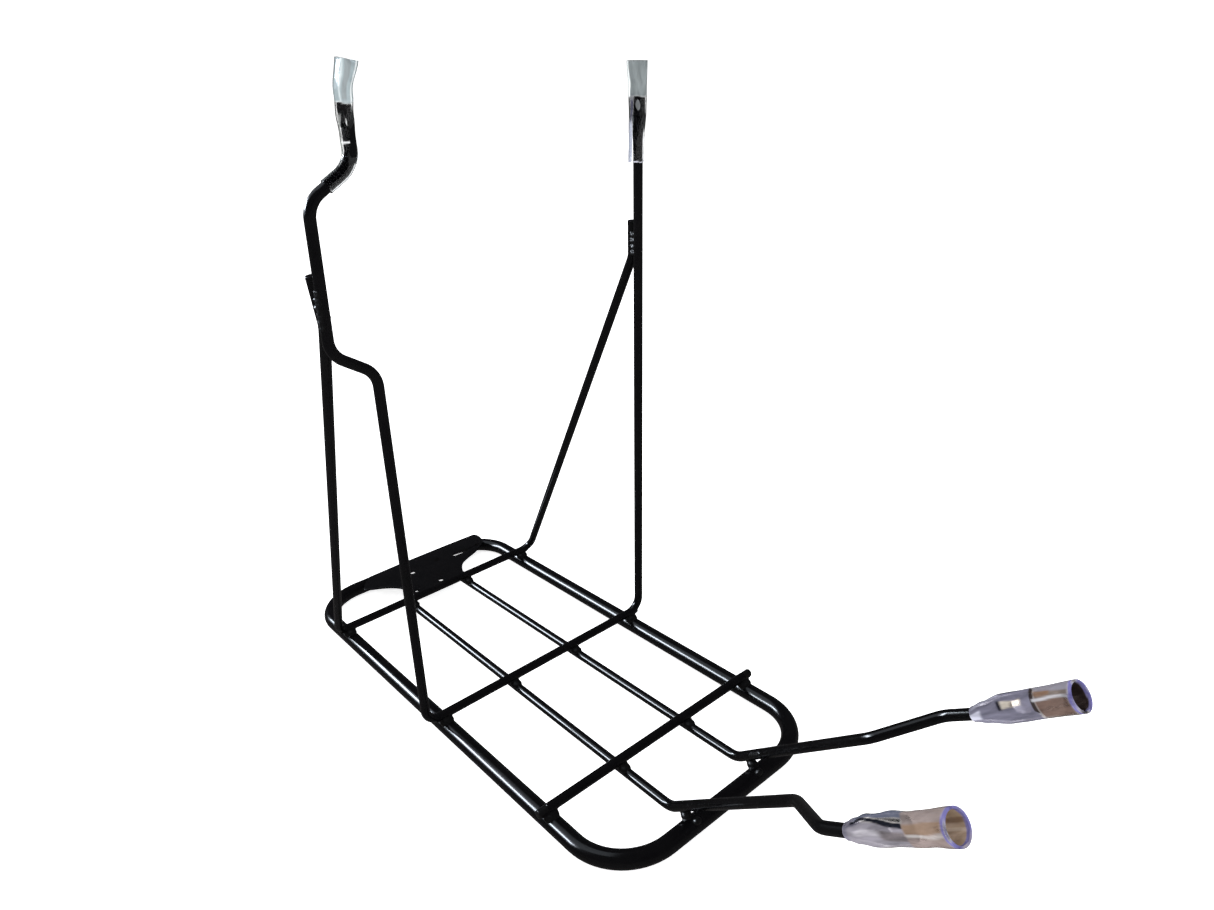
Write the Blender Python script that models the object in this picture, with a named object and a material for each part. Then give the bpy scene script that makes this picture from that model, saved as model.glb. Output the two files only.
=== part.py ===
"""Rear rack for a bicycle, welded from bent round rod, with a stamped tail plate and clear sleeves.

The rack lies on the top of its platform with its legs up. Every dimension is in millimetres, from the
middle of the leg hoop's cross rod: +X to the front stays, +Y to the right leg, +Z up the legs.
"""

import math

import bmesh
import bpy
from mathutils import Matrix, Vector

MM = 0.001
ORIGIN = Vector((55.9, -10.8, -5.0))  # middle of the footprint, on the ground under the loop

GAP = 0.3  # between solids that touch
SIDES = 16
ARC_STEP = math.radians(13)

LOOP_R = 5.0
ROD_R = 2.75
LOOP_FRONT = 159.8
LOOP_REAR = (-190.6, -188.7)  # at the left and the right corner
REAR_MIDDLE = sum(LOOP_REAR) / 2
LOOP_HALF = 75.0
LOOP_CORNER = 33.5

CROSS_Z = LOOP_R + ROD_R + GAP
INNER_Z = CROSS_Z - 2 * ROD_R - GAP
BRACE_CROSS_X = -131.3
FRONT_CROSS_X = 105.4
FRONT_CROSS_HALF = 76.0

LEG_LEAN = 0.0818  # forward travel of a leg for each unit of height
LEG_FOOT_X = 0.65
LEG_RIGHT_Y = 84.1
LEG_LEFT_Y = -86.8
LEG_OFFSET_Y = (-108.2, -106.9)  # the left leg steps out round a disc brake
LEG_LEFT_TOP_Y = -84.3
STEP_OUT_Z = (229.3, 243.4)
STEP_IN_Z = (311.2, 324.6)
LEG_RIGHT_TOP = 346.1
LEG_LEFT_TOP = 349.6
FOOT_BEND = 10.0
STEP_BEND = 13.0

BRACE_RIGHT_Y = 85.1
BRACE_LEFT_FOOT_Y = -82.3
BRACE_LEFT_TOP_Y = (-106.2, -108.5)  # at the bend and at the tip
BRACE_BEHIND_LEG = 6.0
BRACE_BEND_Z = 256.2
BRACE_RIGHT_TOP = 277.0
BRACE_LEFT_TOP = 280.0
BRACE_BEND = 12.0

STAY_REAR = (-138.0, 23.6)
STAY_BEND = (144.8, 25.5)
STAY_KNEE = (225.5, 26.8, 64.1)
STAY_ELBOW = (250.3, 44.9, 80.6)
STAY_WRIST = (263.5, 45.4, 88.9)
STAY_TIP = (288.0, 45.4, 108.3)
STAY_RADII = (30.0, 14.0, 14.0, 14.0)

EYE_HALF_WIDTH = 5.25
EYE_HALF_THICKNESS = 1.2
EYE_FLAT = 15.0
EYE_NECK = 27.0
EYE_FADE = 39.0
EYE_SETBACK = 7.7
EYE_CORNER = 1.4
LEG_HOLE_R = 3.2
STAY_HOLE = (9.4, 6.8)  # slot length and width

SLEEVE_WALL = 0.6
LEG_SLEEVE_HALF = (7.0, 5.3)  # outside of the oval tube, along the eye and across it
STAY_SLEEVE_HALF = (6.7, 5.9)
LEG_SLEEVES = {"left": (331.5, 367.0), "right": (309.3, 360.3)}
STAY_SLEEVE_LENGTH = 50.5
SLEEVE_SIDES = 24

PLATE_BOTTOM = LOOP_R + GAP
PLATE_TOP = PLATE_BOTTOM + 1.5
PLATE_FRONT = BRACE_CROSS_X - ROD_R - GAP
PLATE_REAR = (LOOP_REAR[0] + 0.9, LOOP_REAR[1] + 0.9)
PLATE_HOLES = ((-169.0, -3.0, 2.4), (-172.2, 21.2, 2.5), (-142.0, 7.0, 2.2), (-141.5, -14.6, 1.8),
               (-169.4, 57.8, 1.8))
PLATE_SLOT = ((-168.8, 35.8), (-167.9, 45.8), 2.2)

BLACK = (0.012, 0.012, 0.013, 1.0)
CLEAR = (0.74, 0.72, 0.80, 1.0)


# ---- Scene and materials ------------------------------------------------------------------------

def clear_scene():
    for old in list(bpy.data.objects):
        bpy.data.objects.remove(old, do_unlink=True)


def material(name, color, roughness, metallic, alpha=1.0):
    made = bpy.data.materials.new(name)
    made.use_nodes = True
    shader = made.node_tree.nodes["Principled BSDF"]
    shader.inputs["Base Color"].default_value = color
    shader.inputs["Roughness"].default_value = roughness
    shader.inputs["Metallic"].default_value = metallic
    shader.inputs["Alpha"].default_value = alpha
    return made


def add_object(name, mesh_data, paint, at=Vector(), turn=None, cutter=False):
    """Makes a scene object from a bmesh in millimetres that is centred on the point at."""
    mesh = bpy.data.meshes.new(name)
    bmesh.ops.recalc_face_normals(mesh_data, faces=mesh_data.faces)
    bmesh.ops.scale(mesh_data, vec=(MM, MM, MM), verts=mesh_data.verts)
    mesh_data.to_mesh(mesh)
    mesh_data.free()
    mesh.shade_smooth()
    mesh.set_sharp_from_angle(angle=math.radians(35))
    made = bpy.data.objects.new(name, mesh)
    made.matrix_world = Matrix.Translation((at - ORIGIN) * MM) @ (turn or Matrix())
    bpy.context.collection.objects.link(made)
    if cutter:
        made.hide_render = True
        made.display_type = "WIRE"
    else:
        mesh.materials.append(material(name, *paint))
    return made


def boolean(target, tool):
    cut = target.modifiers.new(tool.name, "BOOLEAN")
    cut.operation = "DIFFERENCE"
    cut.solver = "EXACT"
    cut.object = tool


# ---- Paths and rods -----------------------------------------------------------------------------

def bend(before, corner, after, radius):
    """Points along the arc that rounds one corner of a path."""
    back = (before - corner).normalized()
    ahead = (after - corner).normalized()
    turn = math.pi - back.angle(ahead)
    centre = corner + (back + ahead).normalized() * (radius / math.cos(turn / 2))
    start = corner + back * (radius * math.tan(turn / 2)) - centre
    axis = back.cross(ahead).normalized()
    steps = max(2, round(turn / ARC_STEP))
    return [centre + Matrix.Rotation(-turn * i / steps, 3, axis) @ start for i in range(steps + 1)]


def rounded_path(corners, radii):
    points = [corners[0]]
    for i, radius in enumerate(radii, 1):
        points += bend(corners[i - 1], corners[i], corners[i + 1], radius)
    return points + [corners[-1]]


def tangents(points, closed=False):
    result = []
    last = len(points) - 1
    for i, point in enumerate(points):
        before = points[i - 1] if i > 0 or closed else point
        after = points[(i + 1) % len(points)] if i < last or closed else point
        incoming = (point - before).normalized()
        outgoing = (after - point).normalized()
        result.append((incoming + outgoing).normalized())
    return result


def ring(data, centre, side, up, offsets):
    return [data.verts.new(centre + side * u + up * v) for u, v in offsets]


def skin(data, rings, closed=False):
    """Joins a row of rings with quads and closes the two ends."""
    pairs = list(zip(rings, rings[1:]))
    if closed:
        pairs.append((rings[-1], rings[0]))
    for first, second in pairs:
        for i in range(len(first)):
            j = (i + 1) % len(first)
            data.faces.new((first[i], first[j], second[j], second[i]))
    if not closed:
        data.faces.new(rings[0][::-1])
        data.faces.new(rings[-1])


def circle(radius, sides=SIDES):
    return [(radius * math.cos(math.tau * i / sides), radius * math.sin(math.tau * i / sides))
            for i in range(sides)]


def swept(points, normal, section, closed=False):
    """Sweeps a section whose first axis starts along normal and follows the path without twist."""
    data = bmesh.new()
    rings = []
    side = normal
    for i, (point, along) in enumerate(zip(points, tangents(points, closed))):
        side = (side - along * side.dot(along)).normalized()
        rings.append(ring(data, point, side, along.cross(side), section(i)))
    skin(data, rings, closed)
    return data


def smooth(value):
    value = min(max(value, 0.0), 1.0)
    return value * value * (3 - 2 * value)


def eye_section(from_tip, radius=ROD_R):
    """Round rod that is forged to a flat with half-round edges towards its tip."""
    width_left = smooth((from_tip - EYE_FLAT) / (EYE_NECK - EYE_FLAT))
    flat_left = smooth((from_tip - EYE_FLAT) / (EYE_FADE - EYE_FLAT))
    corner = EYE_CORNER - from_tip
    trim = EYE_CORNER - math.sqrt(max(EYE_CORNER ** 2 - corner ** 2, 0)) if corner > 0 else 0
    half = EYE_HALF_WIDTH - trim
    thick = EYE_HALF_THICKNESS
    straight = half - thick
    eighth = math.pi / 4
    quarter = [(half, 0.0), (straight + thick * math.cos(eighth), thick * math.sin(eighth)),
               (straight, thick), (straight / 2, thick)]
    flat = quarter + [(0.0, thick)] + [(-u, v) for u, v in quarter[:0:-1]]
    flat += [(-u, -v) for u, v in flat]
    blended = []
    for (u, v), (round_u, round_v) in zip(flat, circle(radius)):
        blended.append((u + (round_u - u) * width_left, v + (round_v - v) * flat_left))
    return blended


def with_eye(points):
    """Splits the first straight run of a path where a forged eye needs a ring."""
    fade = [EYE_FLAT + (EYE_FADE - EYE_FLAT) * i / 8 for i in range(9)]
    stations = [0.0, EYE_CORNER * 0.3, EYE_CORNER, *fade]
    along = (points[1] - points[0]).normalized()
    straight = (points[1] - points[0]).length
    return [points[0] + along * s for s in stations if s < straight] + points[1:]


def distances(points):
    total = [0.0]
    for a, b in zip(points, points[1:]):
        total.append(total[-1] + (b - a).length)
    return total


def rod(name, points, normal, eyes=(False, False), radius=ROD_R, closed=False, cutter=False):
    """A rod along points, with a forged eye at its start, its end or both."""
    if eyes[0]:
        points = with_eye(points)
    if eyes[1]:
        points = with_eye(points[::-1])[::-1]
    reach = distances(points)

    def section(i):
        from_tip = EYE_FADE
        if eyes[0]:
            from_tip = min(from_tip, reach[i])
        if eyes[1]:
            from_tip = min(from_tip, reach[-1] - reach[i])
        return circle(radius) if from_tip >= EYE_FADE else eye_section(from_tip)

    data = swept(points, normal, section, closed)
    return add_object(name, data, (BLACK, 0.18, 0.0), cutter=cutter)


# ---- Routes of the rods -------------------------------------------------------------------------

def leg_x(height):
    return LEG_FOOT_X + LEG_LEAN * height


def leg_point(y, height):
    return Vector((leg_x(height), y, height))


def loop_path():
    corners = [Vector((x, y, 0)) for x, y in (
        (LOOP_FRONT, -LOOP_HALF), (LOOP_FRONT, LOOP_HALF),
        (LOOP_REAR[1], LOOP_HALF), (LOOP_REAR[0], -LOOP_HALF))]
    points = []
    for i, corner in enumerate(corners):
        points += bend(corners[i - 1], corner, corners[(i + 1) % 4], LOOP_CORNER)
    return points


def leg_hoop_path():
    corners = [
        leg_point(LEG_LEFT_TOP_Y, LEG_LEFT_TOP),
        leg_point(LEG_LEFT_TOP_Y, STEP_IN_Z[1]),
        leg_point(LEG_OFFSET_Y[1], STEP_IN_Z[0]),
        leg_point(LEG_OFFSET_Y[0], STEP_OUT_Z[1]),
        leg_point(LEG_LEFT_Y, STEP_OUT_Z[0]),
        leg_point(LEG_LEFT_Y, CROSS_Z),
        leg_point(LEG_RIGHT_Y, CROSS_Z),
        leg_point(LEG_RIGHT_Y, LEG_RIGHT_TOP),
    ]
    return rounded_path(corners, [STEP_BEND] * 4 + [FOOT_BEND] * 2)


def brace_point(y, height):
    """A point of a brace above its bend, just behind a leg."""
    return Vector((leg_x(height) - BRACE_BEHIND_LEG, y, height))


def brace_hoop_path():
    corners = [
        brace_point(BRACE_LEFT_TOP_Y[1], BRACE_LEFT_TOP),
        brace_point(BRACE_LEFT_TOP_Y[0], BRACE_BEND_Z),
        Vector((BRACE_CROSS_X, BRACE_LEFT_FOOT_Y, CROSS_Z)),
        Vector((BRACE_CROSS_X, BRACE_RIGHT_Y, CROSS_Z)),
        brace_point(BRACE_RIGHT_Y, BRACE_BEND_Z),
        brace_point(BRACE_RIGHT_Y, BRACE_RIGHT_TOP),
    ]
    return rounded_path(corners, [BRACE_BEND, FOOT_BEND, FOOT_BEND, BRACE_BEND])


def stay_path(side):
    corners = [Vector((x, side * y, z)) for x, y, z in (
        STAY_TIP, STAY_WRIST, STAY_ELBOW, STAY_KNEE, (*STAY_BEND, INNER_Z), (*STAY_REAR, INNER_Z))]
    return rounded_path(corners, STAY_RADII)


def straight_path():
    return [Vector((FRONT_CROSS_X, y, CROSS_Z)) for y in (-FRONT_CROSS_HALF, FRONT_CROSS_HALF)]


ROD_LAYOUT = {
    "outer_loop": (loop_path(), Vector((0, 0, 1)), LOOP_R, True),
    "leg_hoop": (leg_hoop_path(), Vector((1, 0, 0)), ROD_R, False),
    "brace_hoop": (brace_hoop_path(), Vector((1, 0, 0)), ROD_R, False),
    "front_cross_rod": (straight_path(), Vector((0, 0, 1)), ROD_R, False),
    "left_stay_rod": (stay_path(-1), Vector((0, 0, 1)), ROD_R, False),
    "right_stay_rod": (stay_path(1), Vector((0, 0, 1)), ROD_R, False),
}
EYES = {"leg_hoop": (True, True), "left_stay_rod": (True, False), "right_stay_rod": (True, False)}


def add_rods():
    rods = {}
    for name, (points, normal, radius, closed) in ROD_LAYOUT.items():
        rods[name] = rod(name, points, normal, EYES.get(name, (False, False)), radius, closed)
    return rods


def add_clearances():
    """The same rods swollen by the gap, which cut the weld beads to shape."""
    tools = {}
    for name, (points, normal, radius, closed) in ROD_LAYOUT.items():
        tools[name] = rod(name + "_clearance", points, normal, radius=radius + GAP, closed=closed,
                          cutter=True)
    left, rear, right = -60, REAR_MIDDLE - 20, 80
    slab = [(rear, left), (PLATE_FRONT + GAP, left), (PLATE_FRONT + GAP, right), (rear, right)]
    tools["tail_plate"] = add_object("plate_clearance", prism(slab, PLATE_BOTTOM - GAP, PLATE_TOP + GAP),
                                     None, cutter=True)
    return tools


# ---- Holes --------------------------------------------------------------------------------------

def prism(outline, low, high):
    """Closed solid between two levels of Z from an outline of XY points."""
    data = bmesh.new()
    base = data.faces.new([data.verts.new((x, y, low)) for x, y in outline])
    lifted = bmesh.ops.extrude_face_region(data, geom=[base])
    moved = [v for v in lifted["geom"] if isinstance(v, bmesh.types.BMVert)]
    bmesh.ops.translate(data, verts=moved, vec=(0, 0, high - low))
    return data


def slot_outline(length, width, steps=10):
    """Round-ended slot along X, or a circle where its length is its width."""
    radius = width / 2
    reach = length / 2 - radius
    outline = []
    for centre, start in ((reach, -math.pi / 2), (-reach, math.pi / 2)):
        for i in range(steps + 1):
            angle = start + math.pi * i / steps
            if reach > 0 or i < steps:
                outline.append((centre + radius * math.cos(angle), radius * math.sin(angle)))
    return outline


def pierce(target, name, centre, along, length, width):
    """Cuts a slot through a flat eye, its length along the rod and its axis along Y."""
    across = Vector((0, 1, 0))
    turn = Matrix((along, across.cross(along), across)).transposed().to_4x4()
    tool = add_object(name, prism(slot_outline(length, width), -5, 5), None, centre, turn, cutter=True)
    boolean(target, tool)


def eye_frame(name):
    """Tip and inward direction of each rod end with an eye."""
    points = ROD_LAYOUT[name][0]
    ends = [(points[0], (points[1] - points[0]).normalized())]
    if EYES[name][1]:
        ends.append((points[-1], (points[-2] - points[-1]).normalized()))
    return ends


def add_holes(rods):
    for i, (tip, inward) in enumerate(eye_frame("leg_hoop")):
        pierce(rods["leg_hoop"], f"leg_hole_{i}", tip + inward * EYE_SETBACK, inward,
               2 * LEG_HOLE_R, 2 * LEG_HOLE_R)
    for name in ("left_stay_rod", "right_stay_rod"):
        tip, inward = eye_frame(name)[0]
        pierce(rods[name], name + "_hole", tip + inward * EYE_SETBACK, inward, *STAY_HOLE)


# ---- Tail plate ---------------------------------------------------------------------------------

def plate_outline():
    """A wide tongue to the brace hoop and two arms along the loop's rear bar."""
    return [
        (PLATE_REAR[0], -29.5), (-186, -33.5), (-180.5, -38.5), (-174, -42.5), (-170.5, -38), (-166, -31),
        (-160, -24.5), (-154, -20.5), (-147, -19), (-141, -18.6), (PLATE_FRONT, -18.5), (PLATE_FRONT, 25.5),
        (-141, 26.3), (-147, 29.2), (-153, 33.6), (-156.5, 40), (-159.5, 48), (-163.5, 56), (-168, 62),
        (-173.5, 65.8), (-180, 67.5), (-185.5, 67), (PLATE_REAR[1], 64.5),
    ]


def add_tail_plate():
    data = prism(plate_outline(), PLATE_BOTTOM, PLATE_TOP)
    plate = add_object("tail_plate", data, (BLACK, 0.3, 0.0))
    for i, (x, y, radius) in enumerate(PLATE_HOLES):
        tool = prism(slot_outline(2 * radius, 2 * radius, 8), -4, 4)
        boolean(plate, add_object(f"plate_hole_{i}", tool, None, Vector((x, y, PLATE_TOP)), cutter=True))
    (x0, y0), (x1, y1), half = PLATE_SLOT
    length = math.hypot(x1 - x0, y1 - y0) + 2 * half
    tool = prism(slot_outline(length, 2 * half, 6), -4, 4)
    turn = Matrix.Rotation(math.atan2(y1 - y0, x1 - x0), 4, "Z")
    middle = Vector(((x0 + x1) / 2, (y0 + y1) / 2, PLATE_TOP))
    boolean(plate, add_object("plate_slot", tool, None, middle, turn, cutter=True))
    return plate


# ---- Welds --------------------------------------------------------------------------------------

def add_weld(name, at, size, tools):
    """A bead of filler metal between rods: an ellipsoid less the rods and their gap."""
    data = bmesh.new()
    bmesh.ops.create_uvsphere(data, u_segments=14, v_segments=8, radius=1.0)
    bmesh.ops.scale(data, vec=size, verts=data.verts)
    bead = add_object(name, data, (BLACK, 0.35, 0.0), at)
    for tool in tools:
        boolean(bead, tool)


def add_rail_welds(tools):
    size = (4.6, 4.4, 2.7)
    rows = (("brace_hoop", "brace_hoop", BRACE_CROSS_X), ("leg_hoop", "leg_hoop", leg_x(CROSS_Z)),
            ("front_rod", "front_cross_rod", FRONT_CROSS_X))
    for label, crossing, x in rows:
        for side, y in (("left", -LOOP_HALF), ("right", LOOP_HALF)):
            at = Vector((x + 0.6, y, LOOP_R + GAP / 2))
            add_weld(f"weld_{label}_{side}_rail", at, size, (tools["outer_loop"], tools[crossing]))


def add_inner_welds(tools):
    size = (4.0, 3.7, 2.4)
    rows = (("brace_hoop", "brace_hoop", BRACE_CROSS_X), ("leg_hoop", "leg_hoop", leg_x(CROSS_Z)),
            ("front_rod", "front_cross_rod", FRONT_CROSS_X))
    for label, crossing, x in rows:
        share = (x - STAY_REAR[0]) / (STAY_BEND[0] - STAY_REAR[0])
        y = STAY_REAR[1] + (STAY_BEND[1] - STAY_REAR[1]) * share
        for side, sign in (("left", -1), ("right", 1)):
            at = Vector((x + 0.4, sign * y, INNER_Z + ROD_R + GAP / 2))
            cuts = [tools[side + "_stay_rod"], tools[crossing]]
            if label == "brace_hoop":
                cuts.append(tools["tail_plate"])
            add_weld(f"weld_{label}_{side}_stay", at, size, cuts)


def add_front_welds(tools):
    """The stays are welded where they climb over the loop's front bar."""
    for side, sign in (("left", -1), ("right", 1)):
        slope = Vector((STAY_KNEE[0] - STAY_BEND[0], 0, STAY_KNEE[2] - INNER_Z)).normalized()
        across = Vector((-slope.z, 0, slope.x))
        at = Vector((LOOP_FRONT, sign * STAY_BEND[1], 0)) + across * (LOOP_R + 0.4)
        add_weld(f"weld_{side}_stay_front_bar", at, (4.6, 4.6, 3.6),
                 (tools["outer_loop"], tools[side + "_stay_rod"]))


def add_brace_welds(tools):
    """Long beads join the tops of the braces to the legs."""
    for side, leg_y, brace_y in (("left", LEG_OFFSET_Y[0], BRACE_LEFT_TOP_Y[0]),
                                 ("right", LEG_RIGHT_Y, BRACE_RIGHT_Y)):
        height = 262.5
        at = Vector((leg_x(height) - BRACE_BEHIND_LEG / 2, (leg_y + brace_y) / 2, height))
        add_weld(f"weld_{side}_brace_top", at, (2.6, 3.3, 8.0), (tools["leg_hoop"], tools["brace_hoop"]))


def add_plate_welds(tools):
    """Beads that hold the plate: under it along the rear bar, and on it along the brace hoop."""
    loop_at = Vector((REAR_MIDDLE + 4.6, 15.0, 3.4))
    add_weld("weld_plate_rear_bar", loop_at, (3.0, 22.0, 2.8), (tools["outer_loop"], tools["tail_plate"]))
    cross_at = Vector((PLATE_FRONT - 1.0, 6.0, PLATE_TOP + 1.7))
    add_weld("weld_plate_brace_hoop", cross_at, (2.4, 12.0, 1.6),
             (tools["brace_hoop"], tools["tail_plate"]))


# ---- Sleeves ------------------------------------------------------------------------------------

def oval(half_width, half_depth):
    return [(u * half_width, v * half_depth) for u, v in circle(1.0, SLEEVE_SIDES)]


def tube(half, length):
    """An oval tube along Z with its wide way along X."""
    bore = (half[0] - SLEEVE_WALL, half[1] - SLEEVE_WALL)
    data = bmesh.new()
    rings = []
    for section, z in ((half, 0.0), (half, length), (bore, length), (bore, 0.0)):
        rings.append([data.verts.new((x, y, z)) for x, y in oval(*section)])
    skin(data, rings, closed=True)
    return data


def add_sleeve(name, start, end, half):
    """Clear tube from start, on the rod, to its open end."""
    along = (end - start).normalized()
    across = Vector((0, 1, 0))
    turn = Matrix((across.cross(along), across, along)).transposed().to_4x4()
    add_object(name, tube(half, (end - start).length), (CLEAR, 0.12, 0.0, 0.4), start, turn)


def add_sleeves():
    for side, y in (("left", LEG_LEFT_TOP_Y), ("right", LEG_RIGHT_Y)):
        low, high = LEG_SLEEVES[side]
        add_sleeve(f"{side}_leg_sleeve", leg_point(y, low), leg_point(y, high), LEG_SLEEVE_HALF)
    for side, sign in (("left", -1), ("right", 1)):
        wrist, tip = (Vector((x, sign * y, z)) for x, y, z in (STAY_WRIST, STAY_TIP))
        end = wrist + (tip - wrist).normalized() * STAY_SLEEVE_LENGTH
        add_sleeve(f"{side}_stay_sleeve", wrist, end, STAY_SLEEVE_HALF)


def build():
    clear_scene()
    rods = add_rods()
    add_holes(rods)
    add_tail_plate()
    tools = add_clearances()
    add_rail_welds(tools)
    add_inner_welds(tools)
    add_front_welds(tools)
    add_brace_welds(tools)
    add_plate_welds(tools)
    add_sleeves()


build()
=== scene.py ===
"""Looks of a bicycle rear rack: gloss black rods, painted weld beads, a pressed plate, vinyl sleeves.

Lengths are in millimetres, from the middle of the leg hoop's cross rod: +X to the front stays, +Y to the
right leg, +Z up the legs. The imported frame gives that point's place and the rods' gauges.
"""

import math

import bmesh
import bpy
from mathutils import Euler, Matrix, Vector, noise


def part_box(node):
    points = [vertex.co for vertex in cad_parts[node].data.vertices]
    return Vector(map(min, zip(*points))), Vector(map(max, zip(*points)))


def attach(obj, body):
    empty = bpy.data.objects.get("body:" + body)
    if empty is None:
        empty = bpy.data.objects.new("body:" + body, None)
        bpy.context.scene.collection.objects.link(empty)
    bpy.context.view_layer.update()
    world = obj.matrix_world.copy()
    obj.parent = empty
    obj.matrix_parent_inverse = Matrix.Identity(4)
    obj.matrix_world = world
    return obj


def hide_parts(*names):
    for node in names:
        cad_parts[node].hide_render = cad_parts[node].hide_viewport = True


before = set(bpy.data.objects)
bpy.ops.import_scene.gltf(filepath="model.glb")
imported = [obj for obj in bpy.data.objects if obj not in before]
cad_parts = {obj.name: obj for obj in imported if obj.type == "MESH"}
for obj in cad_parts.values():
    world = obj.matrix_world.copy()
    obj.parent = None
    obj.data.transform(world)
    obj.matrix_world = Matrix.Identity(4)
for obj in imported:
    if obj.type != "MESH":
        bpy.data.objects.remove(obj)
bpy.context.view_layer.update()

MM = 0.001
SIDES = 40  # a multiple of four
QUARTER = SIDES // 4
ARC_STEP = math.radians(5)


def node_box(name):
    """Lowest and highest corner of a CAD node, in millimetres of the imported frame."""
    low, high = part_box(name)
    return Vector(low) / MM, Vector(high) / MM


# ---- Sizes and places ---------------------------------------------------------------------------

LOOP_LOW, LOOP_HIGH = node_box("outer_loop")
CROSS_LOW, CROSS_HIGH = node_box("front_cross_rod")
LOOP_R = (LOOP_HIGH.z - LOOP_LOW.z) / 2
ROD_R = (CROSS_HIGH.z - CROSS_LOW.z) / 2
LOOP_HALF = (LOOP_HIGH.y - LOOP_LOW.y) / 2 - LOOP_R
LOOP_FRONT = 159.8
LOOP_REAR = (-190.6, -188.7)  # at the left and the right corner
LOOP_CORNER = 33.5
ORIGIN = Vector((
    LOOP_HIGH.x - LOOP_R - LOOP_FRONT,
    (LOOP_LOW.y + LOOP_HIGH.y) / 2,
    (LOOP_LOW.z + LOOP_HIGH.z) / 2,
))

GAP = 0.3  # between the CAD solids that are welded
CROSS_Z = LOOP_R + ROD_R + GAP
INNER_Z = CROSS_Z - 2 * ROD_R - GAP
BRACE_CROSS_X = -131.3
FRONT_CROSS_X = (CROSS_LOW.x + CROSS_HIGH.x) / 2 - ORIGIN.x
FRONT_CROSS_HALF = (CROSS_HIGH.y - CROSS_LOW.y) / 2

LEG_LEAN = 0.0818  # how far a leg goes along X for each unit of height
LEG_FOOT_X = 0.65
LEG_RIGHT_Y = 84.1
LEG_LEFT_Y = -86.8
LEG_OFFSET_Y = (-108.2, -106.9)  # at the lower and the upper end of the stretch that stands out
LEG_LEFT_TOP_Y = -84.3
STEP_OUT_Z = (229.3, 243.4)
STEP_IN_Z = (311.2, 324.6)
LEG_RIGHT_TOP = 346.1
LEG_LEFT_TOP = 349.6
FOOT_BEND = 10.0
STEP_BEND = 13.0

BRACE_RIGHT_Y = 85.1
BRACE_LEFT_FOOT_Y = -82.3
BRACE_LEFT_TOP_Y = (-106.2, -108.5)  # at the bend and at the tip
BRACE_BEHIND_LEG = 6.0
BRACE_BEND_Z = 256.2
BRACE_RIGHT_TOP = 277.0
BRACE_LEFT_TOP = 280.0
BRACE_BEND = 12.0
BRACE_BEAD_Z = (256.0, 272.0)

# X and Y on the platform, then X, Y and Z on the way up
STAY_REAR = (-138.0, 23.6)
STAY_BEND = (144.8, 25.5)
STAY_KNEE = (225.5, 26.8, 64.1)
STAY_ELBOW = (250.3, 44.9, 80.6)
STAY_WRIST = (263.5, 45.4, 88.9)
STAY_TIP = (288.0, 45.4, 108.3)
STAY_RADII = (30.0, 14.0, 14.0, 14.0)

EYE_HALF_WIDTH = 5.25
EYE_HALF_THICKNESS = 1.2
EYE_FLAT = 13.0  # full width up to here from the tip
EYE_NECK = 27.0  # the rod's own width from here
EYE_V = 31.0  # the flats run out in a V here
EYE_SETBACK = 7.7
EYE_BLEND = 4.0  # the V turns into plain rod over this length
EYE_ROUNDEST = 0.985  # share of the rod's radius that the flats rise to in the V
EYE_CORNER = 1.4
LEG_HOLE = (6.4, 6.4)  # length and width
STAY_HOLE = (9.4, 6.8)
EYE_HOLE_SIDES = 48
CUTTER_REACH = 5.0

PLATE_THICKNESS = 1.5
PLATE_BOTTOM = LOOP_R + GAP
PLATE_TOP = PLATE_BOTTOM + PLATE_THICKNESS
PLATE_FRONT = BRACE_CROSS_X - ROD_R - GAP
PLATE_REAR = [x + 0.9 for x in LOOP_REAR]  # just ahead of the loop's middle line
# X, Y and radius
PLATE_HOLES = ((-169.0, -3.0, 2.4), (-172.2, 21.2, 2.5), (-142.0, 7.0, 2.2), (-141.5, -14.6, 1.8),
               (-169.4, 57.8, 1.8))
PLATE_SLOT = ((-168.8, 35.8), (-167.9, 45.8), 2.2)  # middles of its round ends, and their radius
PLATE_EDGE = 0.3  # softened by this much
GROOVE_HALF = 0.45  # a shallow groove runs from the slot to the last hole
GROOVE_DEPTH = 0.4

SLEEVE_WALL = 0.6
SLEEVE_LIP = 0.35  # the wall is thicker by this much at the open end
SLEEVE_SIDES = 72
SLEEVE_STEP = 0.6
RIGHT_LEG_SLEEVE_Z = (309.3, 360.3)
LEFT_LEG_SLEEVE_START = 0.42  # share of the leg's inward step
LEFT_LEG_SLEEVE_TOP = 367.0
STAY_SLEEVE_LENGTH = 50.5


# ---- Material nodes -----------------------------------------------------------------------------

PAINT_SPECULAR = 0.36
FINER_ACROSS = 4  # noise on vinyl is this much finer across the tube


def new_material(name):
    made = bpy.data.materials.new(name)
    made.use_nodes = True
    tree = made.node_tree
    return made, tree, tree.nodes["Principled BSDF"]


def texture(tree, kind, scale, stretch=None, **inputs):
    """A texture on object coordinates in metres, squeezed along an axis where stretch says."""
    place = tree.nodes.new("ShaderNodeTexCoord")
    fit = tree.nodes.new("ShaderNodeMapping")
    fit.inputs["Scale"].default_value = stretch or (1, 1, 1)
    made = tree.nodes.new(kind)
    made.inputs["Scale"].default_value = scale
    for label, value in inputs.items():
        made.inputs[label].default_value = value
    tree.links.new(place.outputs["Object"], fit.inputs["Vector"])
    tree.links.new(fit.outputs["Vector"], made.inputs["Vector"])
    return made


def ranged(tree, source, low, high, start=0.0, end=1.0):
    """Carries a value from start..end over to low..high."""
    made = tree.nodes.new("ShaderNodeMapRange")
    made.inputs["From Min"].default_value = start
    made.inputs["From Max"].default_value = end
    made.inputs["To Min"].default_value = low
    made.inputs["To Max"].default_value = high
    tree.links.new(source, made.inputs["Value"])
    return made.outputs["Result"]


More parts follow.
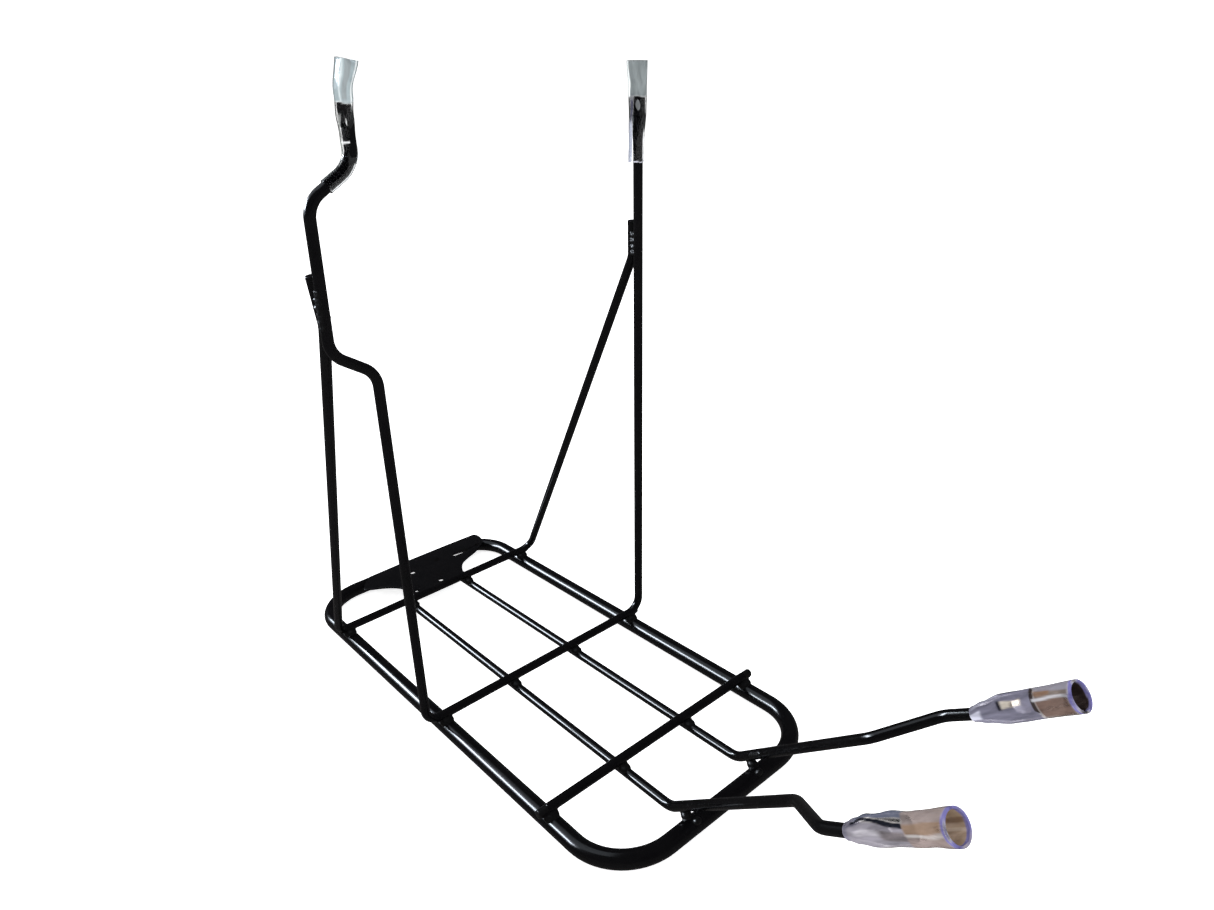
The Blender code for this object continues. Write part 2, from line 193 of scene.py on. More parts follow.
def ramp(tree, source, stops):
    made = tree.nodes.new("ShaderNodeValToRGB")
    elements = made.color_ramp.elements
    while len(elements) < len(stops):
        elements.new(0.5)
    for element, (at, color) in zip(elements, stops):
        element.position = at
        element.color = (*color, 1.0)
    tree.links.new(source, made.inputs["Fac"])
    return made.outputs["Color"]


def bump(tree, shader, heights):
    """Stacks bump maps, each a height output with its distance in metres."""
    normal = None
    for height, distance in heights:
        made = tree.nodes.new("ShaderNodeBump")
        made.inputs["Strength"].default_value = 1.0
        made.inputs["Distance"].default_value = distance
        tree.links.new(height, made.inputs["Height"])
        if normal:
            tree.links.new(normal, made.inputs["Normal"])
        normal = made.outputs["Normal"]
    tree.links.new(normal, shader.inputs["Normal"])


def rod_paint():
    """Gloss black powder coat: faint orange peel, and dust that dulls the gloss in patches."""
    made, tree, shader = new_material("black_paint")
    shader.inputs["Specular IOR Level"].default_value = PAINT_SPECULAR
    peel = texture(tree, "ShaderNodeTexNoise", 420.0, Detail=2.0)
    dust = texture(tree, "ShaderNodeTexNoise", 60.0, Detail=6.0, Roughness=0.7)
    tree.links.new(ranged(tree, dust.outputs["Fac"], 0.14, 0.2, 0.35, 0.75), shader.inputs["Roughness"])
    tree.links.new(ramp(tree, dust.outputs["Fac"], ((0.3, (0.0012, 0.0012, 0.0015)),
                                                    (0.8, (0.0028, 0.0026, 0.0030)))),
                   shader.inputs["Base Color"])
    bump(tree, shader, ((peel.outputs["Fac"], 0.000004),))
    return made


def weld_paint():
    """The same paint over weld ripples and spatter."""
    made, tree, shader = new_material("weld_paint")
    shader.inputs["Specular IOR Level"].default_value = PAINT_SPECULAR
    ripple = texture(tree, "ShaderNodeTexNoise", 900.0, Detail=3.0, Distortion=0.6)
    pits = texture(tree, "ShaderNodeTexVoronoi", 700.0)
    tree.links.new(ranged(tree, ripple.outputs["Fac"], 0.28, 0.42, 0.3, 0.7), shader.inputs["Roughness"])
    tree.links.new(ramp(tree, ripple.outputs["Fac"], ((0.3, (0.0012, 0.0012, 0.0014)),
                                                      (0.8, (0.0034, 0.0032, 0.0034)))),
                   shader.inputs["Base Color"])
    bump(tree, shader, ((ripple.outputs["Fac"], 0.00012), (pits.outputs["Distance"], 0.00005)))
    return made


def plate_paint():
    """A thinner, duller coat over pressed sheet."""
    made, tree, shader = new_material("plate_paint")
    shader.inputs["Specular IOR Level"].default_value = PAINT_SPECULAR
    waves = texture(tree, "ShaderNodeTexNoise", 70.0, Detail=2.0)
    grain = texture(tree, "ShaderNodeTexNoise", 1300.0, Detail=4.0)
    tree.links.new(ranged(tree, grain.outputs["Fac"], 0.2, 0.26, 0.3, 0.7), shader.inputs["Roughness"])
    tree.links.new(ramp(tree, waves.outputs["Fac"], ((0.3, (0.0012, 0.0012, 0.0015)),
                                                     (0.75, (0.0022, 0.0020, 0.0024)))),
                   shader.inputs["Base Color"])
    bump(tree, shader, ((waves.outputs["Fac"], 0.0002), (grain.outputs["Fac"], 0.000001)))
    return made


def along_tube(tree, start, along, length):
    """Object coordinates turned so that noise is drawn out along a tube."""
    across = Vector((0, 1, 0))
    place = tree.nodes.new("ShaderNodeTexCoord")
    from_start = tree.nodes.new("ShaderNodeVectorMath")
    from_start.operation = "SUBTRACT"
    from_start.inputs[1].default_value = (start + ORIGIN) * MM
    tree.links.new(place.outputs["Object"], from_start.inputs[0])
    combined = tree.nodes.new("ShaderNodeCombineXYZ")
    for direction, scale, target in ((along, 1, "Z"), (across, FINER_ACROSS, "Y"),
                                     (across.cross(along), FINER_ACROSS, "X")):
        dot = tree.nodes.new("ShaderNodeVectorMath")
        dot.operation = "DOT_PRODUCT"
        dot.inputs[1].default_value = direction * (scale / length / MM)
        tree.links.new(from_start.outputs["Vector"], dot.inputs[0])
        tree.links.new(dot.outputs["Value"], combined.inputs[target])
    return combined.outputs["Vector"]


def vinyl(name, path):
    """Soft vinyl tube: the mesh's tint gives the colour, with painted highlights, reflections and shade in
    it, and, as alpha, how milky each spot is.
    """
    made, tree, shader = new_material(name)
    shader.inputs["IOR"].default_value = 1.2
    along = (path[-1] - path[-2]).normalized()
    length = distances(path)[-1]
    streak = tree.nodes.new("ShaderNodeTexNoise")
    streak.inputs["Scale"].default_value = 3.0
    streak.inputs["Detail"].default_value = 3.0
    streak.inputs["Distortion"].default_value = 0.4
    tree.links.new(along_tube(tree, path[-1] - along * length, along, length), streak.inputs["Vector"])
    crease = texture(tree, "ShaderNodeTexNoise", 190.0, Detail=2.0, Distortion=0.8)
    # the tint attribute holds the vinyl's colour together with painted highlights, painted reflections and
    # painted shade
    tint_and_painted_light = tree.nodes.new("ShaderNodeAttribute")
    tint_and_painted_light.attribute_name = "tint_and_painted_light"
    tree.links.new(tint_and_painted_light.outputs["Color"], shader.inputs["Base Color"])
    milky = tree.nodes.new("ShaderNodeMath")
    milky.operation = "MULTIPLY"
    milky.use_clamp = True
    tree.links.new(tint_and_painted_light.outputs["Alpha"], milky.inputs[0])
    tree.links.new(ranged(tree, streak.outputs["Fac"], 0.7, 1.3, 0.36, 0.64), milky.inputs[1])
    tree.links.new(ranged(tree, milky.outputs["Value"], 1.0, 0.0), shader.inputs["Transmission Weight"])
    tree.links.new(ranged(tree, crease.outputs["Fac"], 0.03, 0.1, 0.3, 0.7), shader.inputs["Roughness"])
    bump(tree, shader, ((crease.outputs["Fac"], 0.00012), (streak.outputs["Fac"], 0.00025)))
    return made


def floor_paper():
    made, tree, shader = new_material("floor_paper")
    shader.inputs["Roughness"].default_value = 0.9
    shader.inputs["Specular IOR Level"].default_value = 0.0
    fibre = texture(tree, "ShaderNodeTexNoise", 6.0, Detail=5.0)
    tree.links.new(ramp(tree, fibre.outputs["Fac"], ((0.2, (0.90, 0.90, 0.90)), (0.8, (0.92, 0.92, 0.92)))),
                   shader.inputs["Base Color"])
    shader.inputs["Emission Color"].default_value = (1.0, 1.0, 1.0, 1.0)
    shader.inputs["Emission Strength"].default_value = 0.8  # the backdrop is lit from behind
    return made


# ---- Meshes -------------------------------------------------------------------------------------

def add_piece(name, data, material, nodes, body="root"):
    """Makes a piece from a bmesh in millimetres, which stands for the CAD nodes given."""
    mesh = bpy.data.meshes.new(name)
    bmesh.ops.recalc_face_normals(data, faces=data.faces)
    place = Matrix.Translation(ORIGIN * MM) @ Matrix.Scale(MM, 4)
    bmesh.ops.transform(data, matrix=place, verts=data.verts)
    data.to_mesh(mesh)
    data.free()
    mesh.shade_smooth()
    piece = bpy.data.objects.new(name, mesh)
    bpy.context.collection.objects.link(piece)
    mesh.materials.append(material)
    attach(piece, body)
    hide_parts(*nodes)
    return piece


def plain_object(name, data):
    """A helper object in millimetres, for modifiers."""
    mesh = bpy.data.meshes.new(name)
    bmesh.ops.recalc_face_normals(data, faces=data.faces)
    data.to_mesh(mesh)
    data.free()
    made = bpy.data.objects.new(name, mesh)
    bpy.context.collection.objects.link(made)
    return made


def finished(made, *helpers):
    """The mesh of a helper object with its modifiers applied, as a bmesh. The helpers are removed."""
    bpy.context.view_layer.update()
    graph = bpy.context.evaluated_depsgraph_get()
    data = bmesh.new()
    data.from_mesh(made.evaluated_get(graph).to_mesh())
    for each in (made, *helpers):
        bpy.data.objects.remove(each, do_unlink=True)
    return data


def cut(data, tools):
    """Takes closed bmeshes away from another."""
    target = plain_object("target", data)
    helpers = []
    for i, tool in enumerate(tools):
        helper = plain_object(f"tool_{i}", tool)
        modifier = target.modifiers.new(helper.name, "BOOLEAN")
        modifier.operation = "DIFFERENCE"
        modifier.solver = "EXACT"
        modifier.object = helper
        helpers.append(helper)
    return finished(target, *helpers)


# ---- Paths and rods -----------------------------------------------------------------------------

def bend(before, corner, after, radius):
    """Points along the arc that rounds one corner of a path."""
    back = (before - corner).normalized()
    ahead = (after - corner).normalized()
    turn = math.pi - back.angle(ahead)
    centre = corner + (back + ahead).normalized() * (radius / math.cos(turn / 2))
    start = corner + back * (radius * math.tan(turn / 2)) - centre
    axis = back.cross(ahead).normalized()
    steps = max(3, round(turn / ARC_STEP))
    return [centre + Matrix.Rotation(-turn * i / steps, 3, axis) @ start for i in range(steps + 1)]


def rounded_path(corners, radii):
    points = [corners[0]]
    for i, radius in enumerate(radii, 1):
        points += bend(corners[i - 1], corners[i], corners[i + 1], radius)
    return points + [corners[-1]]


def tangents(points, closed=False):
    result = []
    last = len(points) - 1
    for i, point in enumerate(points):
        before = points[i - 1] if i > 0 or closed else point
        after = points[(i + 1) % len(points)] if i < last or closed else point
        result.append(((point - before).normalized() + (after - point).normalized()).normalized())
    return result


def skin(data, rings, closed=False):
    """Joins a row of rings with quads and closes the two ends."""
    pairs = list(zip(rings, rings[1:]))
    if closed:
        pairs.append((rings[-1], rings[0]))
    for first, second in pairs:
        for i in range(len(first)):
            j = (i + 1) % len(first)
            data.faces.new((first[i], first[j], second[j], second[i]))
    if not closed:
        data.faces.new(rings[0][::-1])
        data.faces.new(rings[-1])


def circle(radius, sides=SIDES):
    return [(radius * math.cos(math.tau * i / sides), radius * math.sin(math.tau * i / sides))
            for i in range(sides)]


def swept(points, normal, section, closed=False):
    """Sweeps a section whose first axis starts along normal and follows the path without twist."""
    data = bmesh.new()
    rings = []
    side = normal
    for i, (point, along) in enumerate(zip(points, tangents(points, closed))):
        side = (side - along * side.dot(along)).normalized()
        up = along.cross(side)
        rings.append([data.verts.new(point + side * u + up * v) for u, v in section(i)])
    skin(data, rings, closed)
    return data


def smooth(value):
    """Eases from nought to one."""
    value = min(max(value, 0.0), 1.0)
    return value * value * (3 - 2 * value)


def mirrored(quarter):
    """A closed ring from its first quarter, both ends of which are on an axis."""
    ring = quarter + [(-u, v) for u, v in quarter[-2::-1]]
    ring += [(-u, -v) for u, v in quarter[1:]]
    return ring + [(u, -v) for u, v in quarter[-2:0:-1]]


def eye_section(from_tip):
    """Round rod pressed between two flats, which run out in a V where the rod is round again."""
    arc_steps = 6
    spread = 1 - smooth((from_tip - EYE_FLAT) / (EYE_NECK - EYE_FLAT))
    half = ROD_R + (EYE_HALF_WIDTH - ROD_R) * spread
    if from_tip < EYE_CORNER:
        half -= EYE_CORNER - math.sqrt(EYE_CORNER ** 2 - (EYE_CORNER - from_tip) ** 2)
    press = (from_tip - EYE_FLAT) / (EYE_V - EYE_FLAT)
    rise = EYE_ROUNDEST * ROD_R - EYE_HALF_THICKNESS
    level = EYE_HALF_THICKNESS + rise * min(max(press, 0), 1)
    edge = math.asin(level / ROD_R)
    quarter = []
    for k in range(arc_steps + 1):
        turn = edge * k / arc_steps
        quarter.append((half * math.cos(turn), ROD_R * math.sin(turn)))
    flat_steps = QUARTER - arc_steps
    for k in range(1, flat_steps + 1):
        quarter.append((half * math.cos(edge) * (1 - k / flat_steps), level))
    round_again = smooth((from_tip - EYE_V) / EYE_BLEND)
    plain = circle(ROD_R)[:QUARTER + 1]
    return mirrored([(u + (pu - u) * round_again, v + (pv - v) * round_again)
                     for (u, v), (pu, pv) in zip(quarter, plain)])


EYE_END = EYE_V + EYE_BLEND + 0.5
EYE_STATIONS = [0, 0.15, 0.4, 0.8, EYE_CORNER] + [2 + 0.8 * i for i in range(42)]  # from the tip
LAST_STATION_GAP = 0.2  # between the last station and the straight run's end


def with_eye(points):
    """Adds the eye's stations to the first straight run of a path."""
    along = (points[1] - points[0]).normalized()
    straight = (points[1] - points[0]).length
    inside = [s for s in EYE_STATIONS if s < straight - LAST_STATION_GAP]
    return [points[0] + along * s for s in inside] + points[1:]


def distances(points):
    """How far along a path each of its points is."""
    total = [0.0]
    for a, b in zip(points, points[1:]):
        total.append(total[-1] + (b - a).length)
    return total


END_BEVEL = (0.0, 0.08, 0.2)  # stations of a plain end's broken edge


def with_bevel(points):
    """Adds close stations at the start of a path for a broken edge."""
    along = (points[1] - points[0]).normalized()
    return [points[0] + along * s for s in END_BEVEL] + points[1:]


def rod_mesh(points, normal, radius, eyes, closed):
    """A rod along a path, with an eye or a broken edge at each end of an open one."""
    if not closed:
        for has_eye in eyes:
            points = (with_eye(points) if has_eye else with_bevel(points))[::-1]
    reach = distances(points)

    def section(i):
        ends = (reach[i], reach[-1] - reach[i])
        for from_tip, has_eye in zip(ends, eyes):
            if has_eye and from_tip < EYE_END:
                return eye_section(from_tip)
            if not closed and not has_eye and from_tip < END_BEVEL[-1]:
                return circle(radius - (END_BEVEL[-1] - from_tip))
        return circle(radius)

    return swept(points, normal, section, closed)


# ---- Routes of the rods -------------------------------------------------------------------------

def leg_point(y, height):
    return Vector((LEG_FOOT_X + LEG_LEAN * height, y, height))


def loop_path():
    corners = [Vector((x, y, 0)) for x, y in (
        (LOOP_FRONT, -LOOP_HALF), (LOOP_FRONT, LOOP_HALF),
        (LOOP_REAR[1], LOOP_HALF), (LOOP_REAR[0], -LOOP_HALF))]
    points = []
    for i, corner in enumerate(corners):
        points += bend(corners[i - 1], corner, corners[(i + 1) % 4], LOOP_CORNER)
    return points


def leg_hoop_path():
    corners = [
        leg_point(LEG_LEFT_TOP_Y, LEG_LEFT_TOP),
        leg_point(LEG_LEFT_TOP_Y, STEP_IN_Z[1]),
        leg_point(LEG_OFFSET_Y[1], STEP_IN_Z[0]),
        leg_point(LEG_OFFSET_Y[0], STEP_OUT_Z[1]),
        leg_point(LEG_LEFT_Y, STEP_OUT_Z[0]),
        leg_point(LEG_LEFT_Y, CROSS_Z),
        leg_point(LEG_RIGHT_Y, CROSS_Z),
        leg_point(LEG_RIGHT_Y, LEG_RIGHT_TOP),
    ]
    return rounded_path(corners, [STEP_BEND] * 4 + [FOOT_BEND] * 2)


def brace_point(y, height):
    return leg_point(y, height) - Vector((BRACE_BEHIND_LEG, 0, 0))


def brace_hoop_path():
    corners = [
        brace_point(BRACE_LEFT_TOP_Y[1], BRACE_LEFT_TOP),
        brace_point(BRACE_LEFT_TOP_Y[0], BRACE_BEND_Z),
        Vector((BRACE_CROSS_X, BRACE_LEFT_FOOT_Y, CROSS_Z)),
        Vector((BRACE_CROSS_X, BRACE_RIGHT_Y, CROSS_Z)),
        brace_point(BRACE_RIGHT_Y, BRACE_BEND_Z),
        brace_point(BRACE_RIGHT_Y, BRACE_RIGHT_TOP),
    ]
    return rounded_path(corners, [BRACE_BEND, FOOT_BEND, FOOT_BEND, BRACE_BEND])


def stay_path(side):
    corners = [Vector((x, side * y, z)) for x, y, z in (
        STAY_TIP, STAY_WRIST, STAY_ELBOW, STAY_KNEE, (*STAY_BEND, INNER_Z), (*STAY_REAR, INNER_Z))]
    return rounded_path(corners, STAY_RADII)


def front_rod_path():
    return [Vector((FRONT_CROSS_X, y, CROSS_Z)) for y in (-FRONT_CROSS_HALF, FRONT_CROSS_HALF)]


# Path, first axis of the section, radius, whether each end has an eye, whether it is a closed loop
RODS = {
    "outer_loop": (loop_path(), Vector((0, 0, 1)), LOOP_R, (False, False), True),
    "leg_hoop": (leg_hoop_path(), Vector((1, 0, 0)), ROD_R, (True, True), False),
    "brace_hoop": (brace_hoop_path(), Vector((1, 0, 0)), ROD_R, (False, False), False),
    "front_cross_rod": (front_rod_path(), Vector((0, 0, 1)), ROD_R, (False, False), False),
    "left_stay_rod": (stay_path(-1), Vector((0, 0, 1)), ROD_R, (True, False), False),
    "right_stay_rod": (stay_path(1), Vector((0, 0, 1)), ROD_R, (True, False), False),
}


def slot_cutter(centre, along, reach, half, axis, low, high, sides):
    """A cutter from low to high along its axis; its round ends are centred reach from its middle."""
    side = axis.cross(along)
    data = bmesh.new()
    rings = [[], []]
    for i in range(sides):
        angle = math.tau * i / sides
        shift = reach if math.cos(angle) >= 0 else -reach
        point = centre + along * (shift + half * math.cos(angle)) + side * (half * math.sin(angle))
        for ring, level in zip(rings, (low, high)):
            ring.append(data.verts.new(point + axis * level))
    skin(data, rings)
    return data


def eye_cutters(name, points, eyes):
    """Cutters for the bolt holes, whose axes are along Y."""
    ends = [(points[0], points[1]), (points[-1], points[-2])]
    length, width = LEG_HOLE if name == "leg_hoop" else STAY_HOLE
    tools = []
    for (tip, inner), has_eye in zip(ends, eyes):
        if has_eye:
            along = (inner - tip).normalized()
            tools.append(slot_cutter(tip + along * EYE_SETBACK, along, (length - width) / 2, width / 2,
                                     Vector((0, 1, 0)), -CUTTER_REACH, CUTTER_REACH, EYE_HOLE_SIDES))
    return tools


def add_rods(paint):
    for name, (points, normal, radius, eyes, closed) in RODS.items():
        data = rod_mesh(points, normal, radius, eyes, closed)
        if any(eyes):
            data = cut(data, eye_cutters(name, points, eyes))
        piece = add_piece(name + "_paint", data, paint, [name])
        piece.data.set_sharp_from_angle(angle=math.radians(30))


# ---- Weld beads ---------------------------------------------------------------------------------

STUB_INSET = 0.12  # a bead's skin dives under the real rod by this much
BEAD_WAVES = 0.7  # frequency of the beads' unevenness
STUB_REACH = 7.0  # half the length of the rods that a crossing's bead is melted on
CROSSINGS = (("brace_hoop", BRACE_CROSS_X), ("leg_hoop", LEG_FOOT_X + LEG_LEAN * CROSS_Z),
             ("front_rod", FRONT_CROSS_X))
SIDE_SIGNS = (("left", -1), ("right", 1))

# Filler at a crossing: how far each ball is ahead of the cross rod and its height, then its half sizes
RAIL_FILLER = (((2.3, 4.4), (3.6, 4.6, 2.6)), ((-1.6, 4.6), (2.2, 3.4, 1.8)))
STAY_FILLER = (((2.8, 4.2), (4.2, 3.6, 2.2)), ((-1.2, 4.6), (2.0, 2.8, 1.6)))


def add_ball(data, centre, size):
    made = bmesh.ops.create_uvsphere(data, u_segments=20, v_segments=12, radius=1.0)
    bmesh.ops.scale(data, vec=size, verts=made["verts"])
    bmesh.ops.translate(data, vec=centre, verts=made["verts"])


def add_stub(data, start, end, radius):
    """A short length of rod."""
    along = (end - start).normalized()
    side = along.orthogonal().normalized()
    up = along.cross(side)
    rings = []
    for point in (start, end):
        rings.append([data.verts.new(point + side * u + up * v) for u, v in circle(radius, 24)])
    skin(data, rings)


def bead_mesh(stubs, balls, cell=0.5, passes=10, roughen=0.12):
    """Rods and filler melted together: a voxel skin, relaxed so that its corners fill."""
    data = bmesh.new()
    for start, end, radius in stubs:
        add_stub(data, Vector(start), Vector(end), radius - STUB_INSET)
    for centre, size in balls:
        add_ball(data, Vector(centre), size)
    target = plain_object("bead", data)
    melt = target.modifiers.new("melt", "REMESH")
    melt.mode = "VOXEL"
    melt.voxel_size = cell
    relax = target.modifiers.new("relax", "SMOOTH")
    relax.factor = 0.5
    relax.iterations = passes
    data = finished(target)
    data.normal_update()
    for vert in data.verts:
        vert.co += vert.normal * roughen * noise.noise(vert.co * BEAD_WAVES)
    return data


def add_bead(name, data, paint):
    add_piece(name + "_bead", data, paint, [name])


def crossing_stubs(x, y, low_z, low_radius):
    return [((x - STUB_REACH, y, low_z), (x + STUB_REACH, y, low_z), low_radius),
            ((x, y - STUB_REACH, CROSS_Z), (x, y + STUB_REACH, CROSS_Z), ROD_R)]


def stay_y(x):
    """How far an inner rod is from the middle, at a place along the platform."""
    share = (x - STAY_REAR[0]) / (STAY_BEND[0] - STAY_REAR[0])
    return STAY_REAR[1] + (STAY_BEND[1] - STAY_REAR[1]) * share


def add_crossing_beads(paint):
    """Each cross rod is welded on its front side to the loop's rails and to the two inner rods."""
    for label, x in CROSSINGS:
        crossed = (("rail", LOOP_HALF, 0, LOOP_R, RAIL_FILLER),
                   ("stay", stay_y(x), INNER_Z, ROD_R, STAY_FILLER))
        for side, sign in SIDE_SIGNS:
            for part, y, low_z, low_radius, filler in crossed:
                balls = [((x + ahead, sign * y, height), size) for (ahead, height), size in filler]
                data = bead_mesh(crossing_stubs(x, sign * y, low_z, low_radius), balls)
                add_bead(f"weld_{label}_{side}_{part}", data, paint)


def add_front_bar_beads(paint):
    """The stays climb over the loop's front bar on a short pile of weld."""
    slope = Vector((STAY_KNEE[0] - STAY_BEND[0], 0, STAY_KNEE[2] - INNER_Z)).normalized()
    square = Vector((-slope.z, 0, slope.x))
    bar_half = Vector((0, 8, 0))
    near, far = slope * 3, slope * 24
    for side, sign in SIDE_SIGNS:
        y = sign * STAY_BEND[1]
        foot = Vector((LOOP_FRONT, y, 0))
        corner = Vector((STAY_BEND[0], y, INNER_Z))
        stubs = [(foot - bar_half, foot + bar_half, LOOP_R), (corner + near, corner + far, ROD_R)]
        balls = [(foot + square * 6.0, (3.2, 3.0, 2.6)),
                 (foot + Vector((2.6, -sign * 1.6, 4.4)), (1.9, 2.2, 1.7))]
        add_bead(f"weld_{side}_stay_front_bar", bead_mesh(stubs, balls, passes=8), paint)


def add_brace_top_beads(paint):
    """A row of blobs joins the top of each brace to its leg."""
    low, high = BRACE_BEAD_Z
    last = 8  # the ninth blob
    for side, leg_y, brace_y in (("left", LEG_OFFSET_Y[0], BRACE_LEFT_TOP_Y[0]),
                                 ("right", LEG_RIGHT_Y, BRACE_RIGHT_Y)):
        stubs = [(leg_point(leg_y, low - 2), leg_point(leg_y, high + 2), ROD_R),
                 (brace_point(brace_y, low), brace_point(brace_y, high), ROD_R)]
        balls = []
        for i in range(last + 1):
            height = low + 1 + (high - low - 2) * i / last
            zigzag = 1.5 * (-1) ** i
            middle = leg_point((leg_y + brace_y) / 2 + zigzag, height)
            middle -= Vector((BRACE_BEHIND_LEG / 2, 0, 0))
            balls.append((middle, (2.1, 1.5 + 0.3 * (i % 3), 1.5)))
        data = bead_mesh(stubs, balls, cell=0.45, passes=5, roughen=0.25)
        add_bead(f"weld_{side}_brace_top", data, paint)


def add_plate_beads(paint):
    """The plate is welded under its rear edge to the loop, and on top to the brace hoop."""
    rear = sum(LOOP_REAR) / 2
    balls = [((rear + 4.6, y, 3.2), (2.8, 3.0, 2.0)) for y in range(-5, 36, 4)]
    add_bead("weld_plate_rear_bar", bead_mesh([], balls, passes=5, roughen=0.3), paint)
    balls = [((PLATE_FRONT - 0.2, y, PLATE_TOP + 0.4), (1.9, 2.6, 1.2)) for y in range(-5, 18, 3)]
    add_bead("weld_plate_brace_hoop", bead_mesh([], balls, cell=0.4, passes=5, roughen=0.25), paint)


# ---- Tail plate ---------------------------------------------------------------------------------

SHARP_TURN = math.radians(50)
SHARP_PULL = 0.9  # size of a sharp corner's chamfer
PLATE_HOLE_SIDES = 40


def plate_outline():
    """Corners in X and Y, from the left end of the rear edge."""
    return [
        (PLATE_REAR[0], -29.5), (-186, -33.5), (-180.5, -38.5), (-174, -42.5), (-170.5, -38), (-166, -31),
        (-160, -24.5), (-154, -20.5), (-147, -19), (-141, -18.6), (PLATE_FRONT, -18.5), (PLATE_FRONT, 25.5),
        (-141, 26.3), (-147, 29.2), (-153, 33.6), (-156.5, 40), (-159.5, 48), (-163.5, 56), (-168, 62),
        (-173.5, 65.8), (-180, 67.5), (-185.5, 67), (PLATE_REAR[1], 64.5),
    ]


def rounded_outline(corners):
    """Cuts each corner: sharp ones by a short chamfer, the others by a quarter of each side."""
    result = []
    count = len(corners)
    for i, corner in enumerate(corners):
        here = Vector(corner)
        before = Vector(corners[i - 1])
        after = Vector(corners[(i + 1) % count])
        if (here - before).angle(after - here) > SHARP_TURN:
            result += [here + (other - here).normalized() * SHARP_PULL for other in (before, after)]
        else:
            result += [here.lerp(before, 0.25), here.lerp(after, 0.25)]
    return result


def plate_blank():
    """The sheet as a solid with softened edges."""
    data = bmesh.new()
    outline = rounded_outline(plate_outline())
    base = data.faces.new([data.verts.new((p.x, p.y, PLATE_BOTTOM)) for p in outline])
    lifted = bmesh.ops.extrude_face_region(data, geom=[base])
    moved = [v for v in lifted["geom"] if isinstance(v, bmesh.types.BMVert)]
    bmesh.ops.translate(data, verts=moved, vec=(0, 0, PLATE_THICKNESS))
    rims = [e for e in data.edges if len(e.link_faces) == 2
            and any(len(f.verts) > 4 for f in e.link_faces)]
    bmesh.ops.bevel(data, geom=rims, offset=PLATE_EDGE, segments=3, profile=0.5, affect="EDGES")
    return data


def upright_slot(start, end, half, low):
    """A cutter with its axis along Z, from low to well above the plate."""
    start = Vector((*start, 0))
    run = Vector((*end, 0)) - start
    along = run.normalized() if run.length else Vector((1, 0, 0))
    return slot_cutter(start + run / 2, along, run.length / 2, half,
                       Vector((0, 0, 1)), low, PLATE_TOP + 2, PLATE_HOLE_SIDES)


def add_tail_plate(paint):
    below = PLATE_BOTTOM - 2
    tools = [upright_slot((x, y), (x, y), radius, below) for x, y, radius in PLATE_HOLES]
    start, end, half = PLATE_SLOT
    tools.append(upright_slot(start, end, half, below))
    tools.append(upright_slot(end, PLATE_HOLES[-1][:2], GROOVE_HALF, PLATE_TOP - GROOVE_DEPTH))
    data = cut(plate_blank(), tools)
    piece = add_piece("tail_plate_paint", data, paint, ["tail_plate"])
    piece.data.set_sharp_from_angle(angle=math.radians(30))


# ---- Sleeves ------------------------------------------------------------------------------------

def profile_at(profile, distance):
    """Half width, half depth and shift in depth at a distance, eased between the rows given."""
    for row, following in zip(profile, profile[1:]):
        if distance <= following[0]:
            share = smooth((distance - row[0]) / (following[0] - row[0]))
            return [a + (b - a) * share for a, b in zip(row[1:], following[1:])]
    return list(profile[-1][1:])


def window(value, low, high, soft):
    """One from low to high, easing to nought over a soft margin outside them."""
    return smooth((value - low) / soft + 1) * smooth((high - value) / soft + 1)


STROKE_SOFTNESS = 7.0  # degrees
STROKE_WANDER = (0.012, 10)  # how far ripples shift the strokes, as a share of the length and in degrees
RIPPLES_ROUND = 1.3  # frequency of the dents round a sleeve
RIPPLES_ALONG = 0.11
SEED_STEP = 7.3  # sets one sleeve's dents apart from the next one's


def painted(look, share, angle):
    """Tint and milkiness of one spot, painted highlights, reflections and shade included: the base, then
    each stroke laid over it.
    """
    tint_and_painted_light = Vector(look[0])
    for (low, high), (turn_low, turn_high), half, soft, color in look[1:]:
        middle = turn_low + (turn_high - turn_low) * (share - low) / (high - low)
        off = (angle - middle + 180) % 360 - 180
        amount = window(share, low, high, soft) * window(off, -half, half, STROKE_SOFTNESS)
        tint_and_painted_light = tint_and_painted_light.lerp(Vector(color), amount)
    return tint_and_painted_light


def along_path(path, step):
    """Evenly spaced points along a path, with their distances."""
    reach = distances(path)
    count = round(reach[-1] / step)
    for k in range(count + 1):
        distance = reach[-1] * k / count
        i = max(j for j in range(len(path) - 1) if reach[j] <= distance + 1e-9)
        yield distance, path[i].lerp(path[i + 1], (distance - reach[i]) / (reach[i + 1] - reach[i]))


